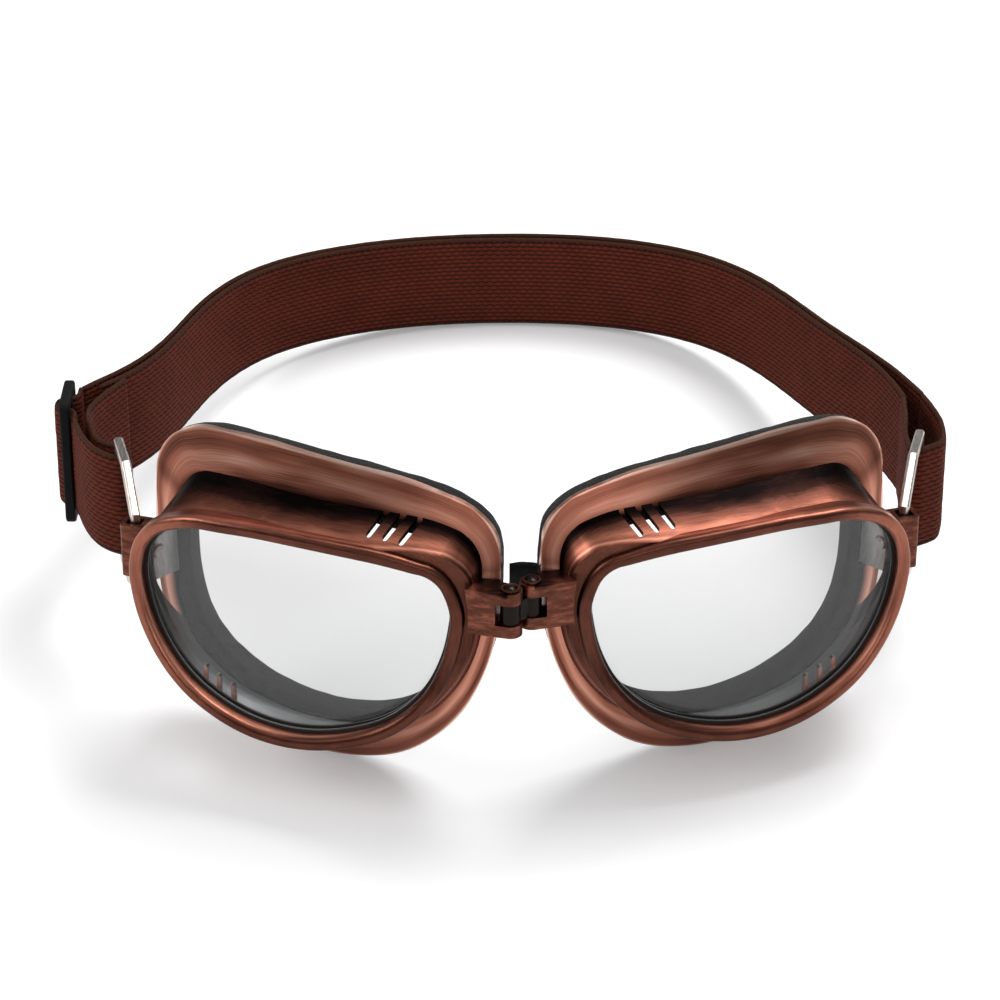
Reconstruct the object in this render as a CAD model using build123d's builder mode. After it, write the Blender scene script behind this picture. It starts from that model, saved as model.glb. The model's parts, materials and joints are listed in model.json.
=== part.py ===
from build123d import *
from math import atan2, cos, hypot, radians, sin, tan
import os

# Aviator flying goggles: two copper plated cups hinged at the nose, foam face pads,
# clear curved lenses, and a doubled elastic head strap on two swivelling rings.
# Millimetres. The goggles are drawn upright: X to the wearer's left, Y from the lenses
# towards the back of the head, Z up, with zero at the middle of the nose hinge.
# At the end they are leaned back until they stand on the pads and on the strap.
# A cup is drawn in its own frame: X outboard, Y towards the face, Z up, with zero at
# the middle of its rim's front. The wearer's left cup is as drawn, the right mirrored.

# Rim of one cup
rim_width = 77.0
rim_height = 53.5
rim_drop = 10.9
lens_radius = 125.0
bead_width = 3.0
bead_depth = 3.2
bead_round = 1.1
sheet = 1.0
wall_inset = 1.2
sweep = 17.0
rim_sag = lens_radius - (lens_radius**2 - rim_width**2 / 4) ** 0.5

# Cup wall, which narrows at the temple and flares at the nose, and brim behind it.
# The brim is part of a ball that lies a named depth behind the rim at nose and temple.
wall_narrowing = 5.0
wall_rise = 6.5
wall_drop = 6.2
seat_lead = 1.08
seat_turn = 9.1
wall_turn = 6.8
wall_past_brim = 3.0
nose_wall = 1.23
temple_wall = 12.2
brim_flare = 5.5
brim_rise = 21.5
brim_drop = 9.2
brim_radius = 100.0
brim_fall = 8.0
brim_width = rim_width + brim_flare
brim_height = rim_height + brim_rise
temple_share = 0.497
nose_share = -0.540
wall_temple_share = 0.417
seat_depth = rim_sag - seat_lead
brim_middle = rim_sag + bead_depth + (nose_wall + temple_wall) / 2
brim_chord = hypot(rim_width, temple_wall - nose_wall)
brim_span = (brim_radius**2 - brim_chord**2 / 4) ** 0.5
brim_shift = brim_span * (temple_wall - nose_wall) / brim_chord
brim_centre = brim_middle + brim_span * rim_width / brim_chord
wall_depth = brim_middle + wall_past_brim
wall_width = rim_width - wall_narrowing

# Lens and its rubber gasket
lens_thickness = 1.8
lens_gap = 0.7
lens_bite = 0.95
gasket_width = 1.5
gasket_lip = 0.6
gasket_play = 0.05
gasket_depth = lens_gap + lens_thickness + gasket_lip

# Vent slots, along the top near the nose and low at the temple
vent_width = 1.3
vent_length = 7.0
vent_pitch = 3.6
vent_lean = 25.0
vent_count = 3
vent_reach = 8.0

# Foam face pad and the soft strip that joins the two pads
pad_thickness = 6.5
pad_margin = 0.4
pad_bevel = 1.8
pad_narrowing = 17.5
pad_lowering = 25.5
pad_drop = 8.1
nose_strip_height = 9.0
nose_strip_thickness = 2.2
nose_strip_rise = 2.5
nose_strip_back = 9.0
nose_strip_gap = 0.35

# Nose hinge: a link between two clevises
nose_reach = 3.4
pin_behind_rim = 9.0
pin_pitch = 5.94
link_turn = 40.0
pin_radius = 1.0
pin_clearance = 0.05
ear_radius = 2.6
ear_thickness = 2.8
ear_gap = 5.0
root_width = 5.6
root_length = 4.0
link_radius = 2.2
link_web = 2.4
link_clearance = 0.1
web_clearance = 0.4
boss_radius = 2.0
boss_height = 0.5
boss_wall = 0.45
head_radius = 1.45
head_height = 0.9
rim_from_pin = nose_reach - nose_share * brim_width

# Strap lug on the temple side, its backing plate and its rivet
lug_height = 12.6
lug_reach = 3.3
lug_wall = 1.0
lug_hole = 3.5
lug_hole_depth = 3.2
lug_lead = 2.4
lug_round = 0.8
plate_height = 13.8
plate_width = 5.6
plate_play = 0.58
plate_thickness = 1.1
rivet_lead = 0.9
rivet_radius = 0.8
rivet_reach = 1.3
rivet_head = 1.4
rivet_head_height = 0.7
rivet_dome = 25.0
seat_edge = temple_share * rim_width - wall_inset - sheet
gasket_back = lens_radius - (lens_radius**2 - seat_edge**2) ** 0.5 + bead_depth + gasket_depth
plate_middle = gasket_back + plate_play + plate_width / 2
lug_middle = plate_middle - lug_lead
rivet_middle = plate_middle - rivet_lead

# Strap ring
ring_bar = 2.2
ring_thickness = 2.2
ring_length = 21.8
ring_arm = 11.2
ring_height = 31.0
ring_width = 2.4
ring_turn = 13.5
ring_play = 0.25
ring_shoulder = 1.8
ring_pin_radius = 1.0
ring_round = 0.7

# Elastic strap and its three bar slider
strap_width = 25.4
strap_thickness = 1.3
strap_gap = 0.35
strap_depth = 118.0
strap_lean = 3.8
layer_gap = 1.8
wrap_radius = 2.1
wrap_steps = 5
loop_length = 25.4
loop_wrap = (-40.0, -190.0)
short_loop = 16.4
short_wrap = (-50.0, -230.0)
slider_height = 31.0
slider_bar = 2.4
slider_slot = 3.5
slider_middle = 2.0
slider_thickness = 2.4
slider_round = 0.6
slider_corner = 1.8
slider_out = 14.2
slider_back = 24.4

overrun = 60.0
steepest_lean = 45.0
lean_step = 0.001

# Outlines as shares of a width and a height, from the nose corner over the top
rim_shares = (
    (-0.494, 0.202), (-0.424, 0.384), (-0.356, 0.422), (-0.081, 0.489), (0.148, 0.502),
    (0.329, 0.470), (0.412, 0.411), (0.469, 0.316), (0.495, 0.197), (0.487, 0.024),
    (0.435, -0.169), (0.347, -0.326), (0.226, -0.434), (-0.101, -0.494), (-0.360, -0.326),
    (-0.487, 0.038),
)
wall_shares = (
    (-0.582, 0.101), (-0.520, 0.364), (-0.462, 0.408), (-0.239, 0.486), (-0.024, 0.503),
    (0.253, 0.468), (0.347, 0.428), (0.390, 0.373), (0.412, 0.285), (0.417, 0.012),
    (0.410, -0.200), (0.367, -0.310), (0.284, -0.398), (-0.077, -0.498), (-0.418, -0.396),
    (-0.564, -0.126),
)
brim_shares = (
    (-0.537, 0.236), (-0.518, 0.329), (-0.472, 0.383), (-0.346, 0.444), (-0.082, 0.489),
    (0.209, 0.496), (0.348, 0.467), (0.455, 0.353), (0.458, 0.246), (0.445, -0.011),
    (0.411, -0.200), (0.071, -0.489), (-0.111, -0.496), (-0.249, -0.454), (-0.372, -0.351),
    (-0.530, 0.013),
)
pad_shares = (
    (-0.569, 0.087), (-0.567, 0.243), (-0.467, 0.405), (-0.333, 0.460), (-0.075, 0.497),
    (0.219, 0.496), (0.318, 0.471), (0.412, 0.330), (0.425, 0.147), (0.350, -0.244),
    (0.114, -0.448), (-0.233, -0.478), (-0.360, -0.416), (-0.457, -0.303),
)

# Vent groups: places out, up and back as shares of the rim and the wall, and facing
vent_shares = ((-0.29, 0.30, 0.453, 90.0), (0.24, -0.54, 0.579, -56.0))

# Strap seen from above, from the slider round the head: out in shares of the rings'
# spread, back in shares of the strap's depth, and the inner layer's pitch
strap_shares = (
    (-1.129, 0.258, 0.0), (-1.104, 0.281, 1.3), (-1.045, 0.334, 1.4), (-0.970, 0.425, 1.1),
    (-0.870, 0.637, 1.0), (-0.741, 0.809, 1.1), (-0.411, 0.956, 1.2), (-0.050, 0.998, 1.4),
    (0.313, 0.967, 1.4), (0.494, 0.905, 1.2), (0.631, 0.810, 1.1), (0.827, 0.555, 1.0),
    (0.979, 0.346, 1.6), (1.039, 0.235, 2.5),
)
# Legs of the two strap loops, from their ring's bar, in shares of the loop's length
long_outer_shares = ((0.138, 0.986), (0.236, 0.575), (0.248, 0.240), (0.193, 0.047))
long_inner_shares = ((-0.089, 0.138), (-0.087, 0.315), (-0.059, 0.551), (-0.042, 0.925))
short_outer_shares = ((0.713, 0.994), (0.543, 0.482), (0.305, 0.079))
short_inner_shares = ((0.287, 0.341), (0.451, 0.756), (0.530, 1.0))
# Sewn end from the short loop to its hem, and the fold over the slider's middle bar
sewn_shares = ((0.535, 1.03), (0.556, 1.274), (0.475, 1.585), (0.325, 1.909), (0.140, 2.257))
fold_shares = (
    (1.10, -1.0), (0.83, -1.0), (0.55, -0.80), (0.40, 0.0), (0.27, 0.75), (0.0, 1.12),
    (-0.27, 0.75), (-0.40, 0.0), (-0.55, -0.80), (-0.83, -1.0), (-1.10, -1.0),
)


def outline(shares, width, height, drop, grow=0.0):
    """Outline points seen from the front, moved out along their normals by grow."""
    points = [(x * width, y * height - drop) for x, y in shares]
    moved = []
    for index, (x, y) in enumerate(points):
        before = points[index - 1]
        after = points[(index + 1) % len(points)]
        run = hypot(after[0] - before[0], after[1] - before[1])
        moved.append((
            x + (before[1] - after[1]) / run * grow,
            y + (after[0] - before[0]) / run * grow,
        ))
    return moved


def rim_outline(grow=0.0):
    return outline(rim_shares, rim_width, rim_height, rim_drop, grow)


def wall_outline(grow=0.0):
    return outline(wall_shares, wall_width, rim_height + wall_rise, wall_drop, grow)


def brim_outline(grow=0.0):
    return outline(brim_shares, brim_width, brim_height, brim_drop, grow)


def smooth_outline(points):
    """Closed outline of tangent arcs, two between each point and the next."""
    places = [Vector(*point) for point in points]
    headings = []
    for index, place in enumerate(places):
        back = place - places[index - 1]
        on = places[(index + 1) % len(places)] - place
        heading = back.normalized() * on.length + on.normalized() * back.length
        headings.append(heading.normalized())
    for index, start in enumerate(places):
        after = (index + 1) % len(places)
        chord = places[after] - start
        along = chord.dot(headings[index] + headings[after])
        bend = 2 * (1 - headings[index].dot(headings[after]))
        reach = chord.dot(chord) / (along + (along**2 + bend * chord.dot(chord)) ** 0.5)
        joint = (start + places[after] + (headings[index] - headings[after]) * reach) / 2
        TangentArc(start, joint, tangent=headings[index])
        TangentArc(joint, places[after], tangent=-headings[after], tangent_from_first=False)


def turned_plane(depth, turn):
    """Upright plane at a depth behind the rim, its temple side turned back."""
    angle = radians(turn)
    x_dir = (cos(angle), sin(angle), 0)
    return Plane(origin=(0, depth, 0), x_dir=x_dir, z_dir=(sin(angle), -cos(angle), 0))


def cup_body(grow):
    """Solid inside the cup wall's outer face, moved out by grow."""
    front = rim_outline(grow - wall_inset)
    sections = (
        (-2 * seat_depth, 0.0, front),
        (seat_depth, seat_turn, front),
        (wall_depth, wall_turn, wall_outline(grow)),
    )
    with BuildPart() as body:
        for depth, turn, points in sections:
            with BuildSketch(turned_plane(depth, turn)):
                with BuildLine():
                    smooth_outline([(x / cos(radians(turn)), y) for x, y in points])
                make_face()
        loft(ruled=True)
    return body.part


def prism(points, front, back):
    """Solid on an outline, between two depths behind the rim."""
    with BuildPart() as body:
        with BuildSketch(turned_plane(back, 0.0)):
            with BuildLine():
                smooth_outline(points)
            make_face()
        extrude(amount=back - front)
    return body.part


def lens_drum(inset):
    """Upright drum whose face is the lens's curve, moved back by inset."""
    with BuildPart() as drum:
        with BuildSketch(Plane.XY.offset(-overrun)):
            with Locations((0, lens_radius)):
                Circle(lens_radius - inset)
        extrude(amount=2 * overrun)
    return drum.part


def brim_ball(inset):
    """Ball whose surface is the brim's front, moved back by inset."""
    with BuildPart() as ball:
        with Locations((-brim_shift, brim_centre, -brim_fall)):
            Sphere(brim_radius - inset)
    return ball.part


def vent_plane(out, up, back, facing):
    """Plane over the cup wall that faces outwards, its Y towards the face."""
    angle = radians(facing)
    x_dir = (sin(angle), 0, -cos(angle))
    return Plane(origin=(out, back, up), x_dir=x_dir, z_dir=(cos(angle), 0, sin(angle)))


def rivet_plane():
    """Plane on the cup wall beside the lug, facing out of the wall."""
    edge = temple_share * rim_width - wall_inset
    fold = seat_depth + edge * tan(radians(seat_turn))
    rear_edge = wall_temple_share * wall_width
    rear = wall_depth + rear_edge * tan(radians(wall_turn))
    angle = atan2(edge - rear_edge, rear - fold)
    place = (edge - (rivet_middle - fold) * tan(angle), rivet_middle, 0)
    return Plane(origin=place, x_dir=(0, 0, 1), z_dir=(cos(angle), sin(angle), 0))


def rivet_shank():
    """Rivet's shank through the backing plate, the wall and the lug's base."""
    with BuildPart() as shank:
        with BuildSketch(rivet_plane().offset(-2 * sheet - plate_thickness)):
            Circle(rivet_radius)
        extrude(amount=2 * sheet + plate_thickness + rivet_reach)
    return shank.part


def lug_window():
    """Upright hole through the lug, open to the ring's short bar."""
    reach = temple_share * rim_width + lug_reach
    with BuildPart() as window:
        with BuildSketch(Plane.XY.offset(-lug_height)):
            with Locations((reach - lug_wall, lug_middle)):
                Rectangle(lug_hole, lug_hole_depth, align=(Align.MAX, Align.CENTER))
        extrude(amount=2 * lug_height)
    return window.part


def make_bezel():
    """Front shell of a cup: rolled rim, flared wall and vent slots."""
    with BuildPart() as bead:
        add(prism(rim_outline(), -overrun, overrun))
        add(lens_drum(0), mode=Mode.INTERSECT)
        add(lens_drum(bead_depth), mode=Mode.SUBTRACT)
        add(prism(rim_outline(-bead_width), -overrun, overrun), mode=Mode.SUBTRACT)
        fillet(bead.faces().sort_by(Axis.Y)[0].edges(), radius=bead_round)
    with BuildPart() as hollow:
        add(cup_body(-sheet))
        add(lens_drum(bead_depth), mode=Mode.INTERSECT)
    with BuildPart() as bezel:
        add(cup_body(0))
        add(lens_drum(bead_depth / 2), mode=Mode.INTERSECT)
        add(prism(rim_outline(-bead_width), -overrun, overrun), mode=Mode.SUBTRACT)
        add(bead.part)
        add(hollow.part, mode=Mode.SUBTRACT)
        add(brim_ball(0), mode=Mode.SUBTRACT)
        for out_share, up_share, back_share, facing in vent_shares:
            place = (out_share * rim_width, up_share * rim_height, back_share * wall_depth)
            with BuildSketch(vent_plane(*place, facing)):
                with GridLocations(vent_pitch, 0, vent_count, 1):
                    SlotOverall(vent_length, vent_width, rotation=90 + vent_lean)
            extrude(amount=vent_reach, both=True, mode=Mode.SUBTRACT)
        add(rivet_shank(), mode=Mode.SUBTRACT)
    return bezel.part


def make_brim():
    """Flared skirt behind the wall, dished like the face side."""
    with BuildPart() as brim:
        add(prism(brim_outline(), 0, overrun))
        add(brim_ball(0), mode=Mode.INTERSECT)
        add(brim_ball(sheet), mode=Mode.SUBTRACT)
        add(cup_body(-sheet), mode=Mode.SUBTRACT)
    return brim.part


def make_lens():
    """Clear lens, curved round the face."""
    edge = wall_inset + sheet + gasket_width - lens_bite
    with BuildPart() as lens:
        add(prism(rim_outline(-edge), -overrun, overrun))
        add(lens_drum(bead_depth + lens_gap), mode=Mode.INTERSECT)
        add(lens_drum(bead_depth + lens_gap + lens_thickness), mode=Mode.SUBTRACT)
        add(cup_body(-sheet), mode=Mode.INTERSECT)
    return lens.part


def make_gasket(lens):
    """Rubber channel that grips the lens's edge behind the rim."""
    outer = rim_outline(-wall_inset)
    inner = rim_outline(-wall_inset - sheet - gasket_width)
    with BuildPart() as gasket:
        add(prism(outer, -overrun, overrun))
        add(lens_drum(bead_depth + gasket_play), mode=Mode.INTERSECT)
        add(lens_drum(bead_depth + gasket_depth), mode=Mode.SUBTRACT)
        add(prism(inner, -overrun, overrun), mode=Mode.SUBTRACT)
        add(cup_body(-sheet - gasket_play), mode=Mode.INTERSECT)
        add(brim_ball(sheet - gasket_play), mode=Mode.SUBTRACT)
        add(lens, mode=Mode.SUBTRACT)
    return gasket.part


def make_pad():
    """Foam ring that seats on the face, bevelled where it touches."""
    width = brim_width - pad_narrowing
    opening = outline(pad_shares, width, brim_height - pad_lowering, pad_drop)
    with BuildPart() as pad:
        add(prism(brim_outline(-pad_margin), 0, overrun))
        add(brim_ball(sheet), mode=Mode.INTERSECT)
        add(brim_ball(sheet + pad_thickness), mode=Mode.SUBTRACT)
        add(prism(opening, -overrun, overrun), mode=Mode.SUBTRACT)
        chamfer(pad.faces().sort_by(Axis.Y)[-1].edges(), length=pad_bevel)
    return pad.part


def make_knuckle():
    """Clevis on the nose side of a cup: two ears, a web and the pin's collar."""
    top = ear_gap / 2 + ear_thickness
    pin = (-rim_from_pin, pin_behind_rim)
    web = link_radius + web_clearance
    with BuildPart() as knuckle:
        with BuildSketch(Plane.XY.offset(-top)):
            with Locations(pin):
                Circle(ear_radius)
            with Locations((nose_share * brim_width + root_length, pin_behind_rim)):
                Rectangle(root_length, root_width, align=(Align.MIN, Align.CENTER))
            make_hull()
        extrude(amount=2 * top)
        with BuildSketch(Plane.XY.offset(-ear_gap / 2)):
            with Locations((web - rim_from_pin, pin_behind_rim)):
                Rectangle(overrun, overrun, align=(Align.MAX, Align.CENTER))
        extrude(amount=ear_gap, mode=Mode.SUBTRACT)
        with BuildSketch(Plane.XY.offset(top)):
            with Locations(pin):
                Circle(boss_radius)
                Circle(boss_radius - boss_wall, mode=Mode.SUBTRACT)
        extrude(amount=boss_height)
        with BuildSketch(Plane.XY.offset(-top)):
            with Locations(pin):
                Circle(pin_radius + pin_clearance)
        extrude(amount=2 * top, mode=Mode.SUBTRACT)
        add(prism(rim_outline(), -overrun, overrun), mode=Mode.SUBTRACT)
        add(cup_body(0), mode=Mode.SUBTRACT)
        add(brim_ball(0), mode=Mode.SUBTRACT)
    return knuckle.part


def make_lug():
    """Folded loop on the temple side of a cup that holds the strap ring."""
    reach = temple_share * rim_width + lug_reach
    depth = lug_hole_depth + 2 * lug_wall
    with BuildPart() as lug:
        with BuildSketch(Plane.XY.offset(-lug_height / 2)):
            with Locations((reach, lug_middle)):
                Rectangle(2 * lug_hole, depth, align=(Align.MAX, Align.CENTER))
        extrude(amount=lug_height)
        outer = lug.faces().sort_by(Axis.X)[-1]
        fillet(outer.edges().filter_by(Axis.Z), radius=lug_round)
        add(lug_window(), mode=Mode.SUBTRACT)
        add(cup_body(0), mode=Mode.SUBTRACT)
        add(rivet_shank(), mode=Mode.SUBTRACT)
    return lug.part


def make_lug_plate():
    """Backing plate inside the cup, bent to the wall."""
    with BuildPart() as plate:
        with BuildSketch(Plane.XY.offset(-plate_height / 2)):
            with Locations((temple_share * rim_width, plate_middle)):
                Rectangle(plate_height, plate_width, align=(Align.MAX, Align.CENTER))
        extrude(amount=plate_height)
        add(cup_body(-sheet), mode=Mode.INTERSECT)
        add(cup_body(-sheet - plate_thickness), mode=Mode.SUBTRACT)
        add(rivet_shank(), mode=Mode.SUBTRACT)
    return plate.part


def make_rivet():
    """Rivet with its domed head inside the cup."""
    with BuildPart() as rivet:
        with BuildSketch(rivet_plane().offset(-plate_thickness)):
            Circle(rivet_head + (sheet + rivet_head_height) * sin(radians(rivet_dome)))
        extrude(amount=-sheet - rivet_head_height, taper=rivet_dome)
        add(cup_body(-sheet - plate_thickness), mode=Mode.INTERSECT)
        add(rivet_shank())
        add(lug_window(), mode=Mode.SUBTRACT)
    return rivet.part


def make_ring():
    """Flat ring with a round short bar for the lug, at zero, and a long bar for the strap."""
    low = lug_height / 2 + ring_play
    high = ring_height / 2 - ring_width
    half = ring_bar / 2
    outer = [
        (-half, low + ring_shoulder), (ring_arm, ring_height / 2),
        (ring_length + half, ring_height / 2),
    ]
    inner = [(half, low), (ring_arm + ring_width / 2, high), (ring_length - half, high)]
    with BuildPart() as ring:
        with BuildSketch(Plane.YZ):
            for corners, mode in ((outer, Mode.ADD), (inner, Mode.SUBTRACT)):
                with BuildLine():
                    Polyline(*corners, *[(p, -q) for p, q in reversed(corners)], close=True)
                make_face(mode=mode)
        extrude(amount=ring_thickness / 2, both=True)
        fillet(ring.faces().filter_by(Axis.X).edges(), radius=ring_round)
        with BuildSketch(Plane.XY.offset(-low)):
            Rectangle(2 * ring_thickness, 2 * ring_bar)
        extrude(amount=2 * low, mode=Mode.SUBTRACT)
        with BuildSketch(Plane.XY.offset(-low)):
            Circle(ring_pin_radius)
        extrude(amount=2 * low)
    return ring.part


def make_pin():
    """Hinge pin with a domed head above and a flat one below."""
    seat = ear_gap / 2 + ear_thickness + pin_clearance
    with BuildPart() as pin:
        with BuildSketch(Plane.XZ):
            with BuildLine():
                Polyline(
                    (0, seat + head_height), (0, -seat - head_height / 2),
                    (head_radius, -seat - head_height / 2), (head_radius, -seat),
                    (pin_radius, -seat), (pin_radius, seat), (head_radius, seat),
                    (head_radius, seat + head_height / 3),
                )
                TangentArc(
                    (0, seat + head_height), (head_radius, seat + head_height / 3),
                    tangent=(1, 0),
                )
            make_face()
        revolve(axis=Axis.Z)
    return pin.part


def make_link():
    """Short double barrel that joins the two clevises."""
    height = ear_gap - 2 * link_clearance
    places = (pin_place(-1), pin_place(1))
    with BuildPart() as link:
        with BuildSketch(Plane.XY.offset(-height / 2)):
            with Locations(*places):
                Circle(link_radius)
            Rectangle(pin_pitch, link_web, rotation=link_turn)
            with Locations(*places):
                Circle(pin_radius, mode=Mode.SUBTRACT)
        extrude(amount=height)
    return link.part


def make_slider():
    """Flat slider of three bars, its middle at zero."""
    width = 2 * (slider_bar + slider_slot) + slider_middle
    with BuildPart() as slider:
        with BuildSketch(Plane.YZ):
            RectangleRounded(width, slider_height, slider_corner)
            with GridLocations(slider_middle + slider_slot, 0, 2, 1):
                Rectangle(slider_slot, strap_width + 2 * strap_gap, mode=Mode.SUBTRACT)
        extrude(amount=slider_thickness / 2, both=True)
        fillet(slider.faces().filter_by(Axis.X).edges(), radius=slider_round)
    return slider.part


def strap_lean_at(y):
    """How far the strap's lower edge stands behind its upper edge at a place."""
    start = bar_back + loop_length
    share = max(0.0, y - start) / (strap_depth - loop_length)
    return strap_lean * share * share


def make_ribbon(route):
    """Stretch of strap along a route, one strap width high."""
    with BuildPart() as ribbon:
        for height, leans in ((-strap_width / 2, True), (strap_width / 2, False)):
            near, far = [], []
            for index, (x, y) in enumerate(route):
                before = route[max(index - 1, 0)]
                after = route[min(index + 1, len(route) - 1)]
                run = hypot(after[0] - before[0], after[1] - before[1])
                across_x = (before[1] - after[1]) / run * strap_thickness / 2
                across_y = (after[0] - before[0]) / run * strap_thickness / 2
                back = y + (strap_lean_at(y) if leans else 0)
                near.append((x + across_x, back + across_y))
                far.append((x - across_x, back - across_y))
            with BuildSketch(Plane.XY.offset(height)):
                with BuildLine():
                    Spline(*near)
                    Line(near[-1], far[-1])
                    Spline(*reversed(far))
                    Line(far[0], near[0])
                make_face()
        loft(ruled=True)
    return ribbon.part


def layer_route(inward):
    """Strap route in the outer layer, or moved inwards for the inner layer."""
    points = [(x * bar_out, bar_back + y * strap_depth, gap) for x, y, gap in strap_shares]
    route = []
    for index, (x, y, gap) in enumerate(points):
        before = points[max(index - 1, 0)]
        after = points[min(index + 1, len(points) - 1)]
        run = hypot(after[0] - before[0], after[1] - before[1])
        step = gap * inward / run
        route.append((x + (after[1] - before[1]) * step, y - (after[0] - before[0]) * step))
    return route


def loop_route(side, outer_shares, inner_shares, length, wrap):
    """Strap route that comes from outside, wraps a ring's bar and goes back."""
    x, y = bar_place(side)
    start, end = wrap
    route = [(side * p * length, q * length) for p, q in outer_shares]
    for step in range(wrap_steps):
        turn = radians(start + (end - start) * step / (wrap_steps - 1))
        route.append((side * cos(turn) * wrap_radius, sin(turn) * wrap_radius))
    route += [(side * p * length, q * length) for p, q in inner_shares]
    return [(x + p, y + q) for p, q in route]


def pin_place(side):
    """Hinge pin of one cup, seen from above."""
    angle = radians(link_turn)
    return side * pin_pitch / 2 * cos(angle), side * pin_pitch / 2 * sin(angle)


def cup_place(side, out, back):
    """Place in a cup's frame, given seen from above in the goggles' frame."""
    angle = radians(sweep)
    x, y = pin_place(side)
    across = out + rim_from_pin
    behind = back - pin_behind_rim
    return (
        x + side * (across * cos(angle) - behind * sin(angle)),
        y + across * sin(angle) + behind * cos(angle),
    )


def set_cup(part, side):
    """Put a piece drawn in a cup's frame on one side of the goggles."""
    swung = Rot(0, 0, sweep) * Pos(rim_from_pin, -pin_behind_rim, 0) * part
    if side < 0:
        swung = mirror(swung, about=Plane.YZ)
    return Pos(*pin_place(side), 0) * swung


def ring_place(side):
    """Axis of a ring's short bar, in the middle of the lug's window."""
    out = temple_share * rim_width + lug_reach - lug_wall - lug_hole / 2
    return cup_place(side, out, lug_middle)


def bar_place(side):
    """Axis of a ring's long bar, which carries the strap."""
    x, y = ring_place(side)
    angle = radians(ring_turn)
    return x + side * sin(angle) * ring_length, y + cos(angle) * ring_length


def make_nose_strip():
    """Soft strip between the two face pads, behind the hinge."""
    angle = radians(sweep)
    across = nose_share * brim_width + rim_from_pin - nose_strip_gap
    front = nose_strip_back - nose_strip_thickness / 2
    rear = nose_strip_back + nose_strip_thickness / 2
    corners = []
    for side, edges in ((1, (front, rear)), (-1, (rear, front))):
        x, y = pin_place(side)
        for edge in edges:
            behind = (edge - y - across * sin(angle)) / cos(angle)
            corners.append((x + side * (across * cos(angle) - behind * sin(angle)), edge))
    with BuildPart() as strip:
        with BuildSketch(Plane.XY.offset(nose_strip_rise - nose_strip_height / 2)):
            with BuildLine():
                Polyline(*corners, close=True)
            make_face()
        extrude(amount=nose_strip_height)
    return strip.part


sides = {"left": 1, "right": -1}
bar_out = bar_place(1)[0]
bar_back = (bar_place(1)[1] + bar_place(-1)[1]) / 2
slider_place = (bar_place(-1)[0] - slider_out, bar_place(-1)[1] + slider_back, 0)

# Pieces of one cup, each used on both sides
lens = make_lens()
cup_pieces = {
    "bezel": make_bezel(),
    "brim": make_brim(),
    "lens": lens,
    "lens_gasket": make_gasket(lens),
    "face_pad": make_pad(),
    "hinge_knuckle": make_knuckle(),
    "strap_lug": make_lug(),
    "lug_plate": make_lug_plate(),
    "lug_rivet": make_rivet(),
}
pin = make_pin()
ring = make_ring()
pieces = {"bridge_link": make_link(), "nose_strip": make_nose_strip()}
for name, side in sides.items():
    for piece, part in cup_pieces.items():
        pieces[f"{name}_{piece}"] = set_cup(part, side)
    pieces[f"{name}_hinge_pin"] = Pos(*pin_place(side), 0) * pin
    pieces[f"{name}_strap_ring"] = Pos(*ring_place(side), 0) * Rot(0, 0, -side * ring_turn) * ring

# Strap, from the slider round the head, through the left ring and back to its sewn end
pieces["strap_outer_band"] = make_ribbon(layer_route(0))
pieces["strap_inner_band"] = make_ribbon(layer_route(layer_gap)[1:])
pieces["left_strap_loop"] = make_ribbon(
    loop_route(1, long_outer_shares, long_inner_shares, loop_length, loop_wrap)
)
pieces["right_strap_loop"] = make_ribbon(
    loop_route(-1, short_outer_shares, short_inner_shares, short_loop, short_wrap)
)
bar = bar_place(-1)
pieces["strap_sewn_end"] = make_ribbon(
    [(bar[0] - p * short_loop, bar[1] + q * short_loop) for p, q in sewn_shares]
)
half_slider = slider_bar + slider_slot + slider_middle / 2
fold_rise = slider_thickness / 2 + strap_gap + strap_thickness / 2
pieces["strap_slider_fold"] = make_ribbon([
    (slider_place[0] - q * fold_rise, slider_place[1] + p * half_slider)
    for p, q in fold_shares
])
pieces["strap_slider"] = Pos(*slider_place) * make_slider()


def rest_gap(lean):
    """How much higher the strap's back stands than the pads, leaned back."""
    low = [
        (Rot(-lean, 0, 0) * pieces[name]).bounding_box().min.Z
        for name in ("strap_outer_band", "left_face_pad")
    ]
    return low[0] - low[1]


# Lean back until the pads and the strap stand on one level
low_lean, high_lean = 0.0, steepest_lean
while high_lean - low_lean > lean_step:
    lean = (low_lean + high_lean) / 2
    if rest_gap(lean) > 0:
        low_lean = lean
    else:
        high_lean = lean

# The origin is under the middle of the whole, on the level that it stands on
leaned = {name: Rot(-lean, 0, 0) * part for name, part in pieces.items()}
box = Compound(list(leaned.values())).bounding_box()
shift = Pos(-(box.min.X + box.max.X) / 2, -(box.min.Y + box.max.Y) / 2, -box.min.Z)
os.makedirs("parts", exist_ok=True)
for name, part in leaned.items():
    placed = shift * part
    placed.label = name
    export_step(placed, f"parts/{name}.step")
print("leaned back", round(lean, 3), "degrees")
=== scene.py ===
import json
import math

import bmesh
import bpy
import numpy as np
from mathutils import Matrix, Vector, noise


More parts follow.
